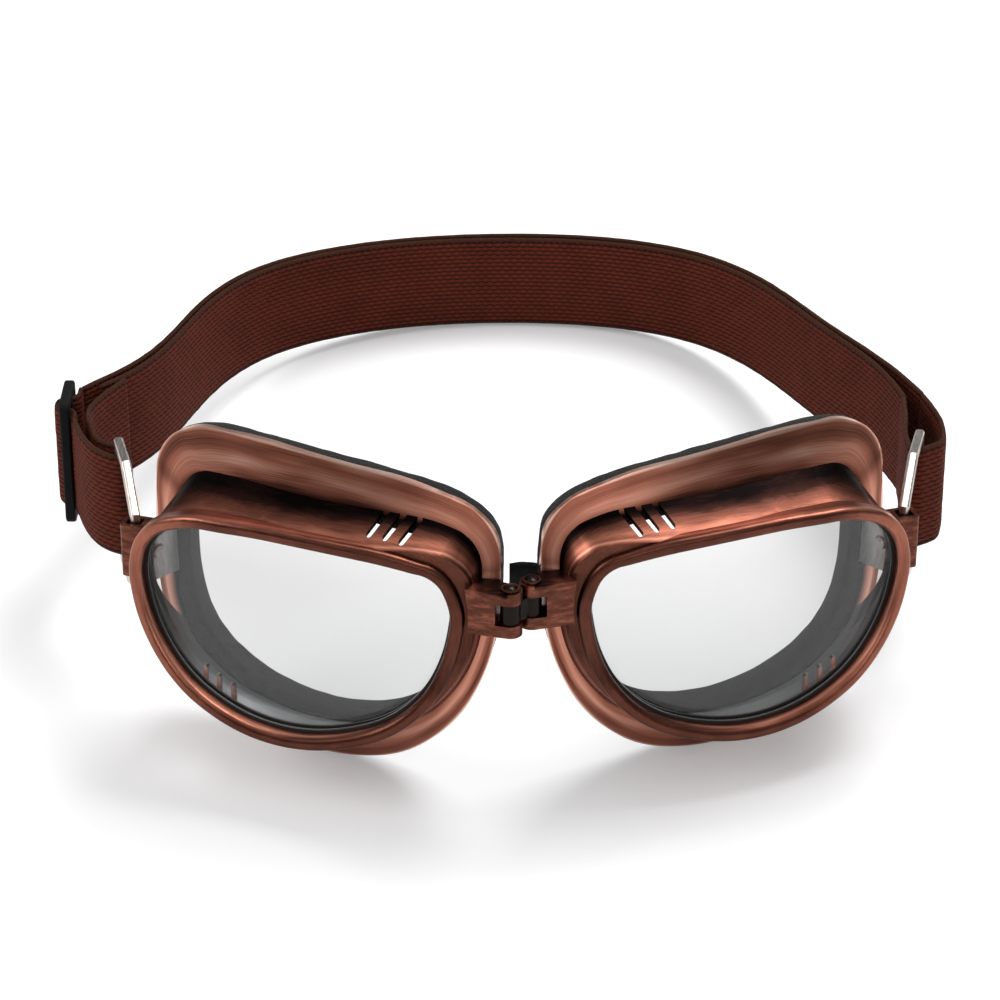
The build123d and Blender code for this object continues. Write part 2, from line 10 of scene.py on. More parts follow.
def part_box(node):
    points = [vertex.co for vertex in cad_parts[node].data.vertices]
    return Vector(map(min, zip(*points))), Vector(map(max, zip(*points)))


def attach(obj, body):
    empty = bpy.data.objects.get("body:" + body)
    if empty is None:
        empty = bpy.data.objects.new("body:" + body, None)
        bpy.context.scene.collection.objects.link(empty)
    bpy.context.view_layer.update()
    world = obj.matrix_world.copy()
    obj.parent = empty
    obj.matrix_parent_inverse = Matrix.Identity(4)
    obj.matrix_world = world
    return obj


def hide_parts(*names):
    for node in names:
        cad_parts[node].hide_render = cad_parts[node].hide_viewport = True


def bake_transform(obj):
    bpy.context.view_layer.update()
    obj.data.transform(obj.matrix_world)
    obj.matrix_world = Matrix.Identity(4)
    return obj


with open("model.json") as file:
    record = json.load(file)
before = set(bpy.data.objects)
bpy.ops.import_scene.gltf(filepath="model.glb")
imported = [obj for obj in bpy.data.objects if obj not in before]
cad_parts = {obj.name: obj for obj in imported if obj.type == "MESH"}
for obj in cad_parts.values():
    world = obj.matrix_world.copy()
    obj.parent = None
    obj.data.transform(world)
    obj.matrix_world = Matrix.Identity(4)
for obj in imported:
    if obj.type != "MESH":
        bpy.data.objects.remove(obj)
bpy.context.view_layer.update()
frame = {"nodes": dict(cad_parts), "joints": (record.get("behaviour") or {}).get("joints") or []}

# The goggles' own frame, in millimetres: X to the wearer's left, Y back, Z up, with zero
# at the middle of the nose hinge. The row's frame is the same, leaned back and in metres.
MM = 0.001
JOINTS = {joint["name"]: joint for joint in frame["joints"]}
PINS = {side: np.array(JOINTS[f"{side}_cup_swing"]["pos_m"]) for side in ("left", "right")}
SIGNS = {"left": 1, "right": -1}
ACROSS = np.array((1.0, 0.0, 0.0))
UP = np.array(JOINTS["left_cup_swing"]["axis"])
BACK = np.array((0.0, UP[2], -UP[1]))
ORIGIN = (PINS["left"] + PINS["right"]) / 2

# Driving sizes of one cup, as in the model
LENS_RADIUS, BEAD_DEPTH = 125.0, 3.2
SWEEP = math.radians(17.0)
BRIM_WIDTH, BRIM_HEIGHT, BRIM_DROP = 82.5, 75.0, 9.2
BRIM_RADIUS, BRIM_CENTRE = 100.0, (-13.0, 107.2, -8.0)
SHEET = 1.0
PAD_THICKNESS, PAD_MARGIN = 6.5, 0.4
PAD_WIDTH, PAD_HEIGHT, PAD_DROP = 65.0, 49.5, 8.1
PIN_BEHIND_RIM = 9.0
RIM_FROM_PIN = 3.4 + 0.54 * BRIM_WIDTH
CUP_MIDDLE = (-4.0, -8.0)

# Outlines: points along one, and the angles at which a material reads a mesh's reach
SPLINE_STEPS = 40
OUTLINE_POINTS, EDGE_POINTS = 600, 400
REACH_ANGLES = np.linspace(-math.pi, math.pi, 41)
REACH_WINDOW, REACH_SCALE = math.radians(6), 60.0

# Strap
STRAP_WIDTH, STRAP_THICKNESS, STRAP_DEPTH, STRAP_LEAN = 25.4, 1.3, 118.0, 3.8
LAYER_GAP, WRAP_RADIUS = 1.8, 2.1
LOOP_LENGTH, LOOP_WRAP = 25.4, (-40.0, -190.0)
SHORT_LOOP, SHORT_WRAP = 16.4, (-50.0, -230.0)
RING_LENGTH, RING_TURN = 21.8, math.radians(13.5)
SLIDER_OUT, SLIDER_BACK = 14.2, 24.4
SLIDER_BAR, SLIDER_SLOT, SLIDER_MIDDLE, SLIDER_THICKNESS = 2.4, 3.5, 2.0, 2.4
STRAP_GAP = 0.35
RIBBON_PITCH, RIBBON_COLUMNS, RIBBON_SQUARENESS = 0.7, 26, 14
RIBBON_WAVE, RIBBON_WAVE_RUN, RIBBON_WAVE_RISE = 0.10, 0.35, 0.5

BRIM_SHARES = (
    (-0.537, 0.236), (-0.518, 0.329), (-0.472, 0.383), (-0.346, 0.444), (-0.082, 0.489),
    (0.209, 0.496), (0.348, 0.467), (0.455, 0.353), (0.458, 0.246), (0.445, -0.011),
    (0.411, -0.200), (0.071, -0.489), (-0.111, -0.496), (-0.249, -0.454), (-0.372, -0.351),
    (-0.530, 0.013),
)
PAD_SHARES = (
    (-0.569, 0.087), (-0.567, 0.243), (-0.467, 0.405), (-0.333, 0.460), (-0.075, 0.497),
    (0.219, 0.496), (0.318, 0.471), (0.412, 0.330), (0.425, 0.147), (0.350, -0.244),
    (0.114, -0.448), (-0.233, -0.478), (-0.360, -0.416), (-0.457, -0.303),
)
# Round a foam pad's section: share from the outer to the inner outline, and share of the depth
PAD_PROFILE = (
    (0.00, 0.00), (0.0, 0.12), (0.01, 0.30), (0.03, 0.50), (0.06, 0.70), (0.10, 0.84),
    (0.15, 0.94), (0.22, 1.0), (0.36, 1.04), (0.50, 1.05), (0.70, 1.04), (0.87, 1.0),
    (0.95, 0.94), (1.0, 0.84), (1.02, 0.70), (1.03, 0.50), (1.02, 0.30), (1.0, 0.12),
    (1.0, 0.00), (0.75, 0.0), (0.5, 0.0), (0.25, 0.0),
)
PAD_STEPS = 240
PAD_SEEDS = {"left": 3.7, "right": 9.1}
PAD_LUMP_PITCH, PAD_LUMP, PAD_FINE_LUMP, PAD_DEPTH_LUMP = 0.13, 0.6, 0.3, 0.25
# Strap route as shares of half its width and of its depth, and of the gap to the inner layer
STRAP_SHARES = (
    (-1.129, 0.258, 0.0), (-1.104, 0.281, 1.3), (-1.045, 0.334, 1.4), (-0.970, 0.425, 1.1),
    (-0.870, 0.637, 1.0), (-0.741, 0.809, 1.1), (-0.411, 0.956, 1.2), (-0.050, 0.998, 1.4),
    (0.313, 0.967, 1.4), (0.494, 0.905, 1.2), (0.631, 0.810, 1.1), (0.827, 0.555, 1.0),
    (0.979, 0.346, 1.6), (1.039, 0.235, 2.5),
)
LONG_OUTER_SHARES = ((0.138, 0.986), (0.236, 0.575), (0.248, 0.240), (0.193, 0.047))
LONG_INNER_SHARES = ((-0.089, 0.138), (-0.087, 0.315), (-0.059, 0.551), (-0.042, 0.925))
SHORT_OUTER_SHARES = ((0.713, 0.994), (0.543, 0.482), (0.305, 0.079))
SHORT_INNER_SHARES = ((0.287, 0.341), (0.451, 0.756), (0.530, 1.0))
SEWN_SHARES = ((0.535, 1.03), (0.556, 1.274), (0.475, 1.585), (0.325, 1.909), (0.140, 2.257))
FOLD_SHARES = (
    (1.10, -1.0), (0.83, -1.0), (0.55, -0.80), (0.40, 0.0), (0.27, 0.75), (0.0, 1.12),
    (-0.27, 0.75), (-0.40, 0.0), (-0.55, -0.80), (-0.83, -1.0), (-1.10, -1.0),
)


def to_row(points):
    """Points of the goggles' frame, in millimetres, as points of the row's frame."""
    p = np.asarray(points, float) * MM
    return ORIGIN + p[:, :1] * ACROSS + p[:, 1:2] * BACK + p[:, 2:3] * UP


def cup_to_row(side, points):
    """Points of a cup's frame (outboard, towards the face, up) in the row's frame."""
    p = np.asarray(points, float)
    out = p[:, 0] + RIM_FROM_PIN
    behind = p[:, 1] - PIN_BEHIND_RIM
    x = SIGNS[side] * (out * math.cos(SWEEP) - behind * math.sin(SWEEP))
    y = out * math.sin(SWEEP) + behind * math.cos(SWEEP)
    return (
        PINS[side] + MM * (x[:, None] * ACROSS + y[:, None] * BACK + p[:, 2:3] * UP)
    )


def spline(points, count, closed=False):
    """Smooth curve through points, as count points evenly spaced along it."""
    p = np.asarray(points, float)
    if closed:
        p = np.vstack((p[-3:], p, p[:4]))
    knots = np.concatenate(([0.0], np.cumsum(np.linalg.norm(np.diff(p, axis=0), axis=1))))
    n = len(p)
    system = np.zeros((n, n))
    right = np.zeros_like(p)
    step = np.diff(knots)
    system[0, 0] = system[-1, -1] = 1.0
    for i in range(1, n - 1):
        system[i, i - 1] = step[i - 1]
        system[i, i] = 2 * (step[i - 1] + step[i])
        system[i, i + 1] = step[i]
        right[i] = 6 * ((p[i + 1] - p[i]) / step[i] - (p[i] - p[i - 1]) / step[i - 1])
    bend = np.linalg.solve(system, right)
    start, end = (knots[3], knots[-4]) if closed else (knots[0], knots[-1])

    def at(t):
        i = np.clip(np.searchsorted(knots, t, side="right") - 1, 0, n - 2)
        h = step[i][:, None]
        a = (knots[i + 1] - t)[:, None] / h
        b = 1 - a
        curved = (a**3 - a) * bend[i] + (b**3 - b) * bend[i + 1]
        return a * p[i] + b * p[i + 1] + curved * h**2 / 6

    fine = at(np.linspace(start, end, SPLINE_STEPS * n))
    run = np.concatenate(([0.0], np.cumsum(np.linalg.norm(np.diff(fine, axis=0), axis=1))))
    wanted = np.linspace(0, run[-1], count + closed)[:count]
    return np.column_stack([np.interp(wanted, run, fine[:, k]) for k in range(p.shape[1])])


def outline(shares, width, height, drop, count, grow=0.0):
    """Outline of a cup seen from the front, moved out by grow."""
    points = np.array(shares) * (width, height) - (0, drop)
    curve = spline(points, count, closed=True)
    along = np.roll(curve, -1, axis=0) - np.roll(curve, 1, axis=0)
    along /= np.linalg.norm(along, axis=1)[:, None]
    return curve + grow * np.column_stack((-along[:, 1], along[:, 0]))


def by_angle(curve, centre, angles):
    """Points where rays from a centre meet a closed curve, one ray per angle."""
    seen = np.unwrap(np.arctan2(curve[:, 1] - centre[1], curve[:, 0] - centre[0]))
    far = np.hypot(curve[:, 0] - centre[0], curve[:, 1] - centre[1])
    if seen[-1] < seen[0]:
        seen, far = seen[::-1], far[::-1]
    reach = np.interp(angles, seen, far, period=2 * math.pi)
    return np.array(centre) + reach[:, None] * np.column_stack((np.cos(angles), np.sin(angles)))


def ball_depth(u, v, inset):
    """Depth behind the rim of the sphere of the brim, made smaller by inset."""
    across, behind, above = BRIM_CENTRE
    radius = BRIM_RADIUS - inset
    return behind - np.sqrt(radius**2 - (u - across)**2 - (v - above)**2)


def cup_axes(side):
    """A cup's origin in the row's frame, and its unit axes: outboard, to the face, up."""
    zero, *ends = cup_to_row(side, [(0, 0, 0), (1, 0, 0), (0, 1, 0), (0, 0, 1)])
    return zero, np.array([end - zero for end in ends]) / MM


def row_to_cup(side, points):
    """Points of the row's frame in a cup's frame: outboard, towards the face and up."""
    zero, axes = cup_axes(side)
    return (np.asarray(points) - zero) @ axes.T / MM


def mesh_reach(node, side, pick):
    """Nearest or farthest distance of a node's mesh from its cup's middle, at REACH_ANGLES."""
    mesh = frame["nodes"][f"{side}_{node}"].data
    points = row_to_cup(side, [vertex.co for vertex in mesh.vertices])
    u, v = points[:, 0] - CUP_MIDDLE[0], points[:, 2] - CUP_MIDDLE[1]
    seen, far = np.arctan2(v, u), np.hypot(u, v)
    reach = []
    for angle in REACH_ANGLES:
        gap = np.abs((seen - angle + math.pi) % (2 * math.pi) - math.pi)
        reach.append(pick(far[gap < REACH_WINDOW]))
    return np.array(reach)


def new_mesh(name, points, faces, uvs=None):
    """Mesh object from points in the row's frame, smooth shaded, normals outward."""
    mesh = bpy.data.meshes.new(name)
    mesh.from_pydata([tuple(p) for p in points], [], faces)
    if uvs is not None:
        layer = mesh.uv_layers.new(name="UVMap")
        for loop in mesh.loops:
            layer.data[loop.index].uv = uvs[loop.vertex_index]
    work = bmesh.new()
    work.from_mesh(mesh)
    bmesh.ops.recalc_face_normals(work, faces=work.faces)
    work.to_mesh(mesh)
    work.free()
    mesh.polygons.foreach_set("use_smooth", [True] * len(mesh.polygons))
    obj = bpy.data.objects.new(name, mesh)
    bpy.context.scene.collection.objects.link(obj)
    return obj


def grid_faces(rows, columns, wrap_rows=False, wrap_columns=False):
    """Quads of a grid whose points run along the columns first."""
    faces = []
    for i in range(rows if wrap_rows else rows - 1):
        for j in range(columns if wrap_columns else columns - 1):
            a, b = i * columns, (i + 1) % rows * columns
            k = (j + 1) % columns
            faces.append((a + j, a + k, b + k, b + j))
    return faces


def set_material(obj, material):
    """Make a material the object's only one."""
    obj.data.materials.clear()
    obj.data.materials.append(material)


def strap_lean_at(y):
    """How far the strap's lower edge stands behind its upper edge at a place."""
    start = BAR_BACK + LOOP_LENGTH
    share = np.maximum(0.0, y - start) / (STRAP_DEPTH - LOOP_LENGTH)
    return STRAP_LEAN * share * share


def ring_axis(side):
    """Axis of a ring's short bar, seen from above in the goggles' frame, in millimetres."""
    place = np.array(JOINTS[f"{side}_ring_swing"]["pos_m"]) - ORIGIN
    return place @ ACROSS / MM, place @ BACK / MM


def bar_axis(side):
    """Axis of a ring's long bar, which carries the strap."""
    x, y = ring_axis(side)
    out, back = math.sin(RING_TURN) * RING_LENGTH, math.cos(RING_TURN) * RING_LENGTH
    return x + SIGNS[side] * out, y + back


BAR_OUT = bar_axis("left")[0]
BAR_BACK = (bar_axis("left")[1] + bar_axis("right")[1]) / 2


def layer_route(inward):
    """Strap route in the outer layer, or moved inwards for the inner layer."""
    points = [(x * BAR_OUT, BAR_BACK + y * STRAP_DEPTH, gap) for x, y, gap in STRAP_SHARES]
    route = []
    for index, (x, y, gap) in enumerate(points):
        before = points[max(index - 1, 0)]
        after = points[min(index + 1, len(points) - 1)]
        step = gap * inward / math.hypot(after[0] - before[0], after[1] - before[1])
        route.append((x + (after[1] - before[1]) * step, y - (after[0] - before[0]) * step))
    return route


def loop_route(side, outer, inner, length, wrap):
    """Strap route that comes from outside, wraps a ring's bar and goes back."""
    x, y = bar_axis(side)
    sign = SIGNS[side]
    route = [(sign * p * length, q * length) for p, q in outer]
    for turn in np.radians(np.linspace(*wrap, 5)):
        route.append((sign * math.cos(turn) * WRAP_RADIUS, math.sin(turn) * WRAP_RADIUS))
    route += [(sign * p * length, q * length) for p, q in inner]
    return [(x + p, y + q) for p, q in route]


def ribbon(name, route, replaced, leans=False, span=(0.0, 1.0)):
    """Strap along a span of a route: a thin closed section with soft edges, mapped lengthwise."""
    length = sum(math.dist(a, b) for a, b in zip(route, route[1:]))
    count = int(length / RIBBON_PITCH)
    line = spline(route, count)
    along = np.gradient(line, axis=0)
    along /= np.linalg.norm(along, axis=1)[:, None]
    across = np.column_stack((-along[:, 1], along[:, 0]))
    run = np.linspace(0, length, count)
    heights = -np.cos(np.linspace(0, math.pi, RIBBON_COLUMNS)) * STRAP_WIDTH / 2
    full = 1 - np.abs(2 * heights / STRAP_WIDTH)**RIBBON_SQUARENESS
    half = STRAP_THICKNESS / 2 * np.sqrt(np.clip(full, 0, 1))
    section = list(zip(heights, half)) + list(zip(heights[-2:0:-1], -half[-2:0:-1]))
    points, uvs = [], []
    first, last = [round(share * (count - 1)) for share in span]
    for index in range(first, last + 1):
        x, y = line[index]
        lean = strap_lean_at(y) if leans else 0.0
        for height, side in section:
            share = 0.5 - height / STRAP_WIDTH
            place = (run[index] * RIBBON_WAVE_RUN, height * RIBBON_WAVE_RISE, len(replaced))
            wave = RIBBON_WAVE * noise.noise(Vector(place))
            points.append((
                x + across[index, 0] * (side + wave),
                y + across[index, 1] * (side + wave) + lean * share,
                height,
            ))
            uvs.append((run[index] / STRAP_WIDTH, height / STRAP_WIDTH + 0.5))
    rows = len(section)
    faces = grid_faces(last - first + 1, rows, wrap_columns=True)
    faces.append(tuple(range(rows))[::-1])
    faces.append(tuple((last - first) * rows + k for k in range(rows)))
    obj = new_mesh(name, to_row(points), faces, uvs)
    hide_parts(replaced)
    return obj


def face_pad(side):
    """Foam pad: a ring between the brim's outline and the eye opening, cut a little wavy."""
    angles = np.linspace(0, 2 * math.pi, PAD_STEPS, endpoint=False)
    brim = outline(BRIM_SHARES, BRIM_WIDTH, BRIM_HEIGHT, BRIM_DROP, OUTLINE_POINTS, -PAD_MARGIN)
    opening = outline(PAD_SHARES, PAD_WIDTH, PAD_HEIGHT, PAD_DROP, OUTLINE_POINTS)
    outer, inner = by_angle(brim, CUP_MIDDLE, angles), by_angle(opening, CUP_MIDDLE, angles)
    points = []
    for edge, eye in zip(outer, inner):
        out = edge - np.array(CUP_MIDDLE)
        out /= np.linalg.norm(out)
        for across, deep in PAD_PROFILE:
            u, v = edge + (eye - edge) * across
            # The lumps of the cut edge fade a little way in from it
            rim = max(0.0, 1 - across * 6)
            at = Vector((u * PAD_LUMP_PITCH, v * PAD_LUMP_PITCH, PAD_SEEDS[side] + deep * 0.5))
            lump = PAD_LUMP * noise.noise(at) + PAD_FINE_LUMP * noise.noise(at * 3.1)
            u, v = (u, v) + out * (rim * deep * lump)
            depth = ball_depth(u, v, SHEET) + deep * PAD_THICKNESS
            depth += PAD_DEPTH_LUMP * deep * noise.noise(at * 2.2 + Vector((5, 1, 2)))
            points.append((u, depth, v))
    faces = grid_faces(PAD_STEPS, len(PAD_PROFILE), wrap_rows=True, wrap_columns=True)
    obj = new_mesh(f"{side}_foam_pad", cup_to_row(side, points), faces)
    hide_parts(f"{side}_face_pad")
    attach(obj, f"{side}_cup")
    return obj


def nose_cover():
    """Soft strip between the pads, a little slack, with folded edges."""
    low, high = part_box("nose_strip")
    rows, columns = 18, 22
    slack, half_thickness, wrinkle, wrinkles = 0.5 * MM, 0.9 * MM, 0.1 * MM, 700
    lean = -math.tan(math.asin(UP[1]))
    points = []
    for face in (0, 1):
        for i in range(rows):
            up = i / (rows - 1)
            edge = 1 - (2 * up - 1)**8
            for j in range(columns):
                over = j / (columns - 1)
                x = low.x + (high.x - low.x) * over
                z = low.z + (high.z - low.z) * up
                y = (low.y + high.y) / 2 + (z - (low.z + high.z) / 2) * lean
                y += half_thickness * edge * (1 if face else -1) + slack * math.sin(math.pi * over)
                y += wrinkle * noise.noise(Vector((x, face * 3, z)) * wrinkles)
                points.append((x, y, z))
    size = rows * columns
    faces = grid_faces(rows, columns)
    faces += [tuple(size + k for k in face[::-1]) for face in faces]
    top, end = rows - 1, columns - 1
    edges = [(k * columns + j, (k + 1) * columns + j) for k in range(top) for j in (0, end)]
    edges += [(k * columns + j, k * columns + j + 1) for j in range(end) for k in (0, top)]
    faces += [(a, b, size + b, size + a) for a, b in edges]
    obj = new_mesh("nose_cover", points, faces)
    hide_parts("nose_strip")
    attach(obj, "bridge_and_strap")
    return obj


# Materials


class Shader:
    """Small helper that makes one node material."""

    def __init__(self, name):
        self.material = bpy.data.materials.new(name)
        self.material.use_nodes = True
        self.tree = self.material.node_tree
        self.tree.nodes.clear()
        self.out = self.tree.nodes.new("ShaderNodeOutputMaterial")
        self.surface = self.tree.nodes.new("ShaderNodeBsdfPrincipled")
        self.tree.links.new(self.surface.outputs[0], self.out.inputs["Surface"])

    def node(self, kind, **settings):
        """New node; settings that name an input set or link it, others set the node."""
        made = self.tree.nodes.new(kind)
        for key, value in settings.items():
            if key in made.inputs:
                self.put(made.inputs[key], value)
            else:
                setattr(made, key, value)
        return made

    def put(self, socket, value):
        """Link a socket to an input, or set the input to a value."""
        if isinstance(value, bpy.types.NodeSocket):
            self.tree.links.new(value, socket)
        else:
            socket.default_value = value

    def math(self, operation, *values):
        """Result of one operation on sockets or numbers."""
        made = self.tree.nodes.new("ShaderNodeMath")
        made.operation = operation
        for socket, value in zip(made.inputs, values):
            self.put(socket, value)
        return made.outputs[0]

    def ramp(self, value, *stops):
        """Colours over a value: each stop is a place and a web colour, grey level or colour."""
        made = self.tree.nodes.new("ShaderNodeValToRGB")
        self.put(made.inputs[0], value)
        steps = made.color_ramp.elements
        while len(steps) < len(stops):
            steps.new(0.5)
        for step, (place, colour) in zip(steps, stops):
            step.position = place
            step.color = as_colour(colour)
        return made.outputs[0]

    def vary(self, tone, pattern, amount):
        """Tone moved up and down by a pattern that runs from 0 to 1."""
        swing = self.math("SUBTRACT", pattern, 0.5)
        return self.math("ADD", tone, self.math("MULTIPLY", swing, amount))

    def dot(self, vector, axis):
        """Length of a vector along an axis."""
        made = self.tree.nodes.new("ShaderNodeVectorMath")
        made.operation = "DOT_PRODUCT"
        self.put(made.inputs[0], vector)
        made.inputs[1].default_value = axis
        return made.outputs["Value"]

    def mix(self, share, one, two):
        """Colour one where the share is 0, colour two where it is 1."""
        made = self.tree.nodes.new("ShaderNodeMix")
        made.data_type = "RGBA"
        self.put(made.inputs["Factor"], share)
        self.put(made.inputs[6], one)
        self.put(made.inputs[7], two)
        return made.outputs[2]

    def noise(self, vector, scale, detail, rough=0.55):
        """Soft noise from 0 to 1."""
        made = self.node(
            "ShaderNodeTexNoise", Vector=vector, Scale=scale, Detail=detail, Roughness=rough,
        )
        return made.outputs[0]

    def stretched(self, scale):
        """Object coordinates scaled along the row's axes."""
        place = self.node("ShaderNodeTexCoord")
        made = self.node("ShaderNodeMapping", Vector=place.outputs["Object"])
        made.inputs["Scale"].default_value = scale
        return made.outputs[0]

    def bump(self, height, distance, strength):
        """Relief of the surface, from a height between 0 and 1 and its depth in metres."""
        made = self.node("ShaderNodeBump", Height=height, Distance=distance, Strength=strength)
        self.put(self.surface.inputs["Normal"], made.outputs[0])

    def finish(self, **values):
        """Set or link inputs of the surface, whose names have _ for a space."""
        for key, value in values.items():
            self.put(self.surface.inputs[key.replace("_", " ")], value)


def srgb(text):
    """Linear colour from a six digit web colour."""
    parts = [int(text[k:k + 2], 16) / 255 for k in (0, 2, 4)]
    return tuple(c / 12.92 if c <= 0.04045 else ((c + 0.055) / 1.055)**2.4 for c in parts) + (1.0,)


def as_colour(value):
    """Linear colour from a web colour, a grey level, or red, green and blue."""
    if isinstance(value, str):
        return srgb(value)
    if isinstance(value, float):
        return (value, value, value, 1.0)
    return (*value, 1.0)


class CupSpace:
    """Sockets that place a shaded point on its cup."""

    def __init__(self, s, side):
        place = s.node("ShaderNodeTexCoord")
        zero, axes = cup_axes(side)
        along = [
            s.math("SUBTRACT", s.dot(place.outputs["Object"], axis), zero @ axis) for axis in axes
        ]
        self.u, self.w, self.v = [s.math("MULTIPLY", distance, 1 / MM) for distance in along]
        east = s.math("SUBTRACT", self.u, CUP_MIDDLE[0])
        north = s.math("SUBTRACT", self.v, CUP_MIDDLE[1])
        self.angle = s.math("ARCTAN2", north, east)
        self.far = s.math("SQRT", self.squares(s, east, north))
        self.east = s.math("DIVIDE", east, self.far)
        self.north = s.math("DIVIDE", north, self.far)
        # How far the surface faces away from the cup's middle
        normal = place.outputs["Normal"]
        self.facing = s.math(
            "ADD",
            s.math("MULTIPLY", s.dot(normal, axes[0]), self.east),
            s.math("MULTIPLY", s.dot(normal, axes[2]), self.north),
        )
        # Share of the way back from the bead to the brim's ball
        sag = s.math("DIVIDE", s.math("MULTIPLY", self.u, self.u), 2 * LENS_RADIUS)
        self.depth = s.math("SUBTRACT", self.w, sag)
        front = s.math("ADD", sag, BEAD_DEPTH)
        over = s.math("SUBTRACT", self.u, BRIM_CENTRE[0])
        rise = s.math("SUBTRACT", self.v, BRIM_CENTRE[2])
        ball = s.math("SQRT", s.math("SUBTRACT", BRIM_RADIUS**2, self.squares(s, over, rise)))
        ball = s.math("SUBTRACT", BRIM_CENTRE[1], ball)
        whole = s.math("SUBTRACT", ball, front)
        self.back = s.math("DIVIDE", s.math("SUBTRACT", self.w, front), whole)

    @staticmethod
    def squares(s, one, two):
        """Sum of two squares."""
        return s.math("ADD", s.math("MULTIPLY", one, one), s.math("MULTIPLY", two, two))

    def reach(self, s, far):
        """Distance from the cup's middle as a curve over the angle."""
        made = s.node("ShaderNodeFloatCurve")
        curve = made.mapping.curves[0]
        values = [
            (angle / (2 * math.pi) + 0.5, reach / REACH_SCALE)
            for angle, reach in zip(REACH_ANGLES, far)
        ]
        curve.points[0].location, curve.points[1].location = values[0], values[-1]
        for value in values[1:-1]:
            curve.points.new(*value)
        made.mapping.update()
        share = s.math("ADD", s.math("DIVIDE", self.angle, 2 * math.pi), 0.5)
        s.put(made.inputs["Value"], share)
        return s.math("MULTIPLY", made.outputs[0], REACH_SCALE)

    def brushed(self, s, across, fine, detail, beside=0.0):
        """Noise drawn out along the cup's outline, fine across it and beside it."""
        along = 2.2
        vector = s.node(
            "ShaderNodeCombineXYZ", X=s.math("MULTIPLY", across, fine),
            Y=s.math("MULTIPLY", self.east, along), Z=s.math("MULTIPLY", self.north, along),
        )
        made = s.node(
            "ShaderNodeTexNoise", noise_dimensions="4D", Vector=vector.outputs[0], Scale=1.0,
            Detail=detail, Roughness=0.62, W=s.math("MULTIPLY", beside, fine),
        )
        return made.outputs[0]


def finish_copper(s, tone, brushed):
    """Satin copper, from near black patina and painted shade to bright wear and painted highlight.
    Returns its colour.
    """
    colour = s.ramp(
        tone, (0.04, "0a0606"), (0.22, "2a1814"), (0.42, "683e32"), (0.62, "ac6b57"),
        (0.80, "d89c86"), (0.97, "f4d0c0"),
    )
    s.finish(Metallic=1.0, Roughness=s.math("ADD", s.math("MULTIPLY", brushed, 0.16), 0.27))
    s.bump(brushed, 0.00004, 0.4)
    return colour


def brim_copper(side):
    """Brim: patina and painted shade in the crease, wear and painted highlight in the middle and
    along the edge.
    """
    s = Shader(f"{side}_brim_copper")
    cup = CupSpace(s, side)
    inner = cup.reach(s, mesh_reach("brim", side, np.min))
    rim = outline(BRIM_SHARES, BRIM_WIDTH, BRIM_HEIGHT, BRIM_DROP, EDGE_POINTS)
    edge = by_angle(rim, CUP_MIDDLE, REACH_ANGLES) - CUP_MIDDLE
    outer = cup.reach(s, np.hypot(edge[:, 0], edge[:, 1]))
    narrowest = 2.5
    span = s.math("MAXIMUM", s.math("SUBTRACT", outer, inner), narrowest)
    share = s.math("DIVIDE", s.math("SUBTRACT", cup.far, inner), span)
    share = s.math("MINIMUM", s.math("MAXIMUM", share, 0.0), 1.0)
    brushed = cup.brushed(s, share, 75.0, 4.0)
    broad = cup.brushed(s, share, 3.0, 1.0)
    # Painted light: near black at the crease is patina and painted shade, the bright middle is wear
    # and painted highlight, and the peak near the outer edge is a painted highlight line.
    brim_patina_and_painted_light = s.ramp(
        share, (0.0, 0.0), (0.14, 0.24), (0.32, 0.60), (0.55, 0.76), (0.82, 0.50), (0.94, 0.56),
        (0.985, 0.92),
    )
    tone = s.vary(s.vary(brim_patina_and_painted_light, brushed, 0.50), broad, 0.45)
    s.finish(Base_Color=finish_copper(s, tone, brushed))
    return s.material


def bezel_copper(side):
    """Front shell: painted highlight on the bead's shoulder, copper wall, crease dark from patina
    and painted shade, grey metal inside.
    """
    s = Shader(f"{side}_bezel_copper")
    cup = CupSpace(s, side)
    rim = cup.reach(s, mesh_reach("lens_gasket", side, np.max))
    brushed = cup.brushed(s, cup.w, 3.4, 4.0, s.math("SUBTRACT", cup.far, rim))
    broad = cup.brushed(s, cup.back, 1.8, 2.0)
    # The bead lies in front of the wall, so the ramp's middle is where the wall starts
    shares = s.math("ADD", s.math("MULTIPLY", cup.back, 0.5), 0.5)
    # Painted light: the peak at 0.41 is a painted highlight ring on the bead's shoulder; the fall
    # to near black at the crease is patina and painted shade.
    wall = s.ramp(
        shares, (0.0, 0.36), (0.34, 0.40), (0.41, 0.72), (0.47, 0.50), (0.56, 0.60), (0.76, 0.36),
        (0.92, 0.04),
    )
    tone = s.vary(s.vary(wall, brushed, 0.26), broad, 0.3)
    copper = finish_copper(s, tone, brushed)
    behind = s.math("GREATER_THAN", cup.back, 0.03)
    inward = s.math("LESS_THAN", cup.facing, -0.05)
    inside = s.math("MULTIPLY", behind, inward)
    grey = s.ramp(brushed, (0.3, "8f9294"), (0.7, "a6a9aa"))
    s.finish(
        Base_Color=s.mix(inside, copper, grey),
        Metallic=s.math("SUBTRACT", 1.0, s.math("MULTIPLY", inside, 0.6)),
    )
    return s.material


